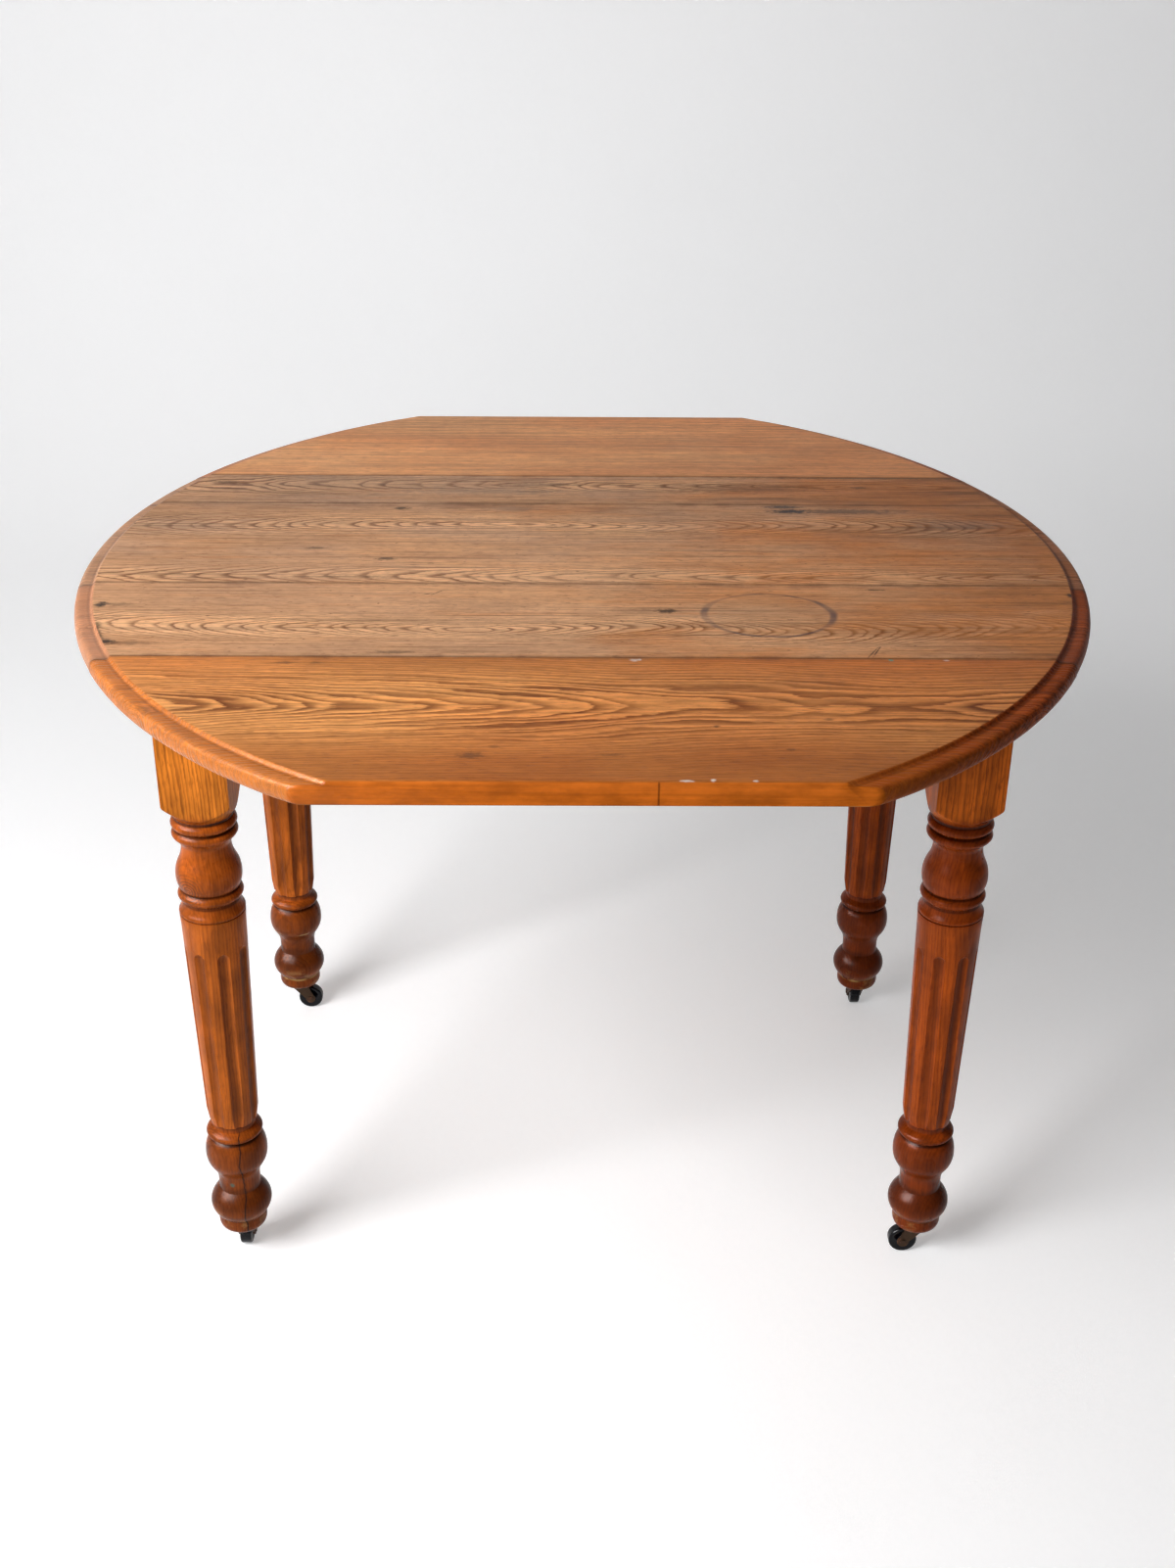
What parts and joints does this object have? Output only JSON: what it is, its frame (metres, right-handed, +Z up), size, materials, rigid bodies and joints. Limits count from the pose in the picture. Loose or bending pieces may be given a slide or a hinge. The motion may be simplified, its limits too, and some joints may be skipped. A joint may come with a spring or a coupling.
{
  "type": "drop-leaf dining table",
  "caption": "Round-sided drop-leaf dining table with clipped ends, moulded edge, hinged leaves on swinging brackets, and turned, fluted legs on swivel casters.",
  "frame": {"origin": "on the floor, under the middle of the top", "axes": "+X along the boards and the leaf joints, +Y to the rear leaf, +Z up"},
  "size_m": [1.064, 1.064, 0.75],
  "materials": {
    "top_wood": "worn and greyed, matt",
    "front_leaf_wood": "orange shellac, satin",
    "rear_leaf_wood": "reddish, worn satin",
    "leg_wood": "red-brown varnish, satin",
    "apron_wood": "stained, matt",
    "bracket_wood": "oiled, matt",
    "hinge_iron": "dark, slightly rusted",
    "screw_steel": "dull steel",
    "caster_iron": "brown patina",
    "wheel_black": "hard black, worn smooth"
  },
  "bodies": {
    "frame": {"top_board_front": "top_wood", "top_board_second": "top_wood", "top_board_third": "top_wood", "top_board_rear": "top_wood", "front_apron": "apron_wood", "rear_apron": "apron_wood", "left_apron": "apron_wood", "right_apron": "apron_wood", "glue_blocks": "apron_wood", "leg_front_left": "leg_wood", "leg_front_right": "leg_wood", "leg_rear_left": "leg_wood", "leg_rear_right": "leg_wood", "front_knuckle_rail": "bracket_wood", "rear_knuckle_rail": "bracket_wood", "rail_screws": "screw_steel", "bracket_pin_front_left": "screw_steel", "hinge_fixed_flap_front_left": "hinge_iron", "hinge_pin_front_left": "screw_steel", "caster_socket_front_left": "caster_iron", "bracket_pin_front_right": "screw_steel", "hinge_fixed_flap_front_right": "hinge_iron", "hinge_pin_front_right": "screw_steel", "caster_socket_front_right": "caster_iron", "bracket_pin_rear_left": "screw_steel", "hinge_fixed_flap_rear_left": "hinge_iron", "hinge_pin_rear_left": "screw_steel", "caster_socket_rear_left": "caster_iron", "bracket_pin_rear_right": "screw_steel", "hinge_fixed_flap_rear_right": "hinge_iron", "hinge_pin_rear_right": "screw_steel", "caster_socket_rear_right": "caster_iron", "hinge_screws_fixed": "screw_steel"},
    "front_leaf": {"front_leaf": "front_leaf_wood", "hinge_leaf_flap_front_left": "hinge_iron", "hinge_leaf_flap_front_right": "hinge_iron", "hinge_screws_front_leaf": "screw_steel"},
    "rear_leaf": {"rear_leaf": "rear_leaf_wood", "hinge_leaf_flap_rear_left": "hinge_iron", "hinge_leaf_flap_rear_right": "hinge_iron", "hinge_screws_rear_leaf": "screw_steel"},
    "bracket_front_left": {"bracket_front_left": "bracket_wood"},
    "bracket_front_right": {"bracket_front_right": "bracket_wood"},
    "bracket_rear_left": {"bracket_rear_left": "bracket_wood"},
    "bracket_rear_right": {"bracket_rear_right": "bracket_wood"},
    "caster_front_left": {"caster_horn_front_left": "caster_iron", "caster_axle_front_left": "caster_iron"},
    "wheel_front_left": {"caster_wheel_front_left": "wheel_black"},
    "caster_front_right": {"caster_horn_front_right": "caster_iron", "caster_axle_front_right": "caster_iron"},
    "wheel_front_right": {"caster_wheel_front_right": "wheel_black"},
    "caster_rear_left": {"caster_horn_rear_left": "caster_iron", "caster_axle_rear_left": "caster_iron"},
    "wheel_rear_left": {"caster_wheel_rear_left": "wheel_black"},
    "caster_rear_right": {"caster_horn_rear_right": "caster_iron", "caster_axle_rear_right": "caster_iron"},
    "wheel_rear_right": {"caster_wheel_rear_right": "wheel_black"}
  },
  "joints": [
    {"name": "front_leaf_hinge", "type": "hinge", "parent": "frame", "child": "front_leaf", "pos_m": [0, -0.275, 0.7227], "axis": [-1, 0, 0], "range_deg": [-90, 0]},
    {"name": "rear_leaf_hinge", "type": "hinge", "parent": "frame", "child": "rear_leaf", "pos_m": [0, 0.275, 0.7227], "axis": [1, 0, 0], "range_deg": [-90, 0]},
    {"name": "bracket_front_left_swing", "type": "hinge", "parent": "frame", "child": "bracket_front_left", "pos_m": [-0.06, -0.264, 0.6925], "axis": [0, 0, 1], "range_deg": [0, 90]},
    {"name": "bracket_front_right_swing", "type": "hinge", "parent": "frame", "child": "bracket_front_right", "pos_m": [0.06, -0.264, 0.6925], "axis": [0, 0, -1], "range_deg": [0, 90]},
    {"name": "bracket_rear_left_swing", "type": "hinge", "parent": "frame", "child": "bracket_rear_left", "pos_m": [-0.06, 0.264, 0.6925], "axis": [0, 0, -1], "range_deg": [0, 90]},
    {"name": "bracket_rear_right_swing", "type": "hinge", "parent": "frame", "child": "bracket_rear_right", "pos_m": [0.06, 0.264, 0.6925], "axis": [0, 0, 1], "range_deg": [0, 90]},
    {"name": "caster_front_left_swivel", "type": "hinge", "parent": "frame", "child": "caster_front_left", "pos_m": [-0.382, -0.245, 0.036], "axis": [0, 0, 1], "continuous": true},
    {"name": "wheel_front_left_spin", "type": "hinge", "parent": "caster_front_left", "child": "wheel_front_left", "pos_m": [-0.382, -0.232, 0.016], "axis": [-1, 0, 0], "continuous": true},
    {"name": "caster_front_right_swivel", "type": "hinge", "parent": "frame", "child": "caster_front_right", "pos_m": [0.382, -0.245, 0.036], "axis": [0, 0, 1], "continuous": true},
    {"name": "wheel_front_right_spin", "type": "hinge", "parent": "caster_front_right", "child": "wheel_front_right", "pos_m": [0.369, -0.245, 0.016], "axis": [0, -1, 0], "continuous": true},
    {"name": "caster_rear_left_swivel", "type": "hinge", "parent": "frame", "child": "caster_rear_left", "pos_m": [-0.382, 0.245, 0.036], "axis": [0, 0, 1], "continuous": true},
    {"name": "wheel_rear_left_spin", "type": "hinge", "parent": "caster_rear_left", "child": "wheel_rear_left", "pos_m": [-0.369, 0.245, 0.016], "axis": [0, 1, 0], "continuous": true},
    {"name": "caster_rear_right_swivel", "type": "hinge", "parent": "frame", "child": "caster_rear_right", "pos_m": [0.382, 0.245, 0.036], "axis": [0, 0, 1], "continuous": true},
    {"name": "wheel_rear_right_spin", "type": "hinge", "parent": "caster_rear_right", "child": "wheel_rear_right", "pos_m": [0.382, 0.258, 0.016], "axis": [-1, 0, 0], "continuous": true}
  ]
}
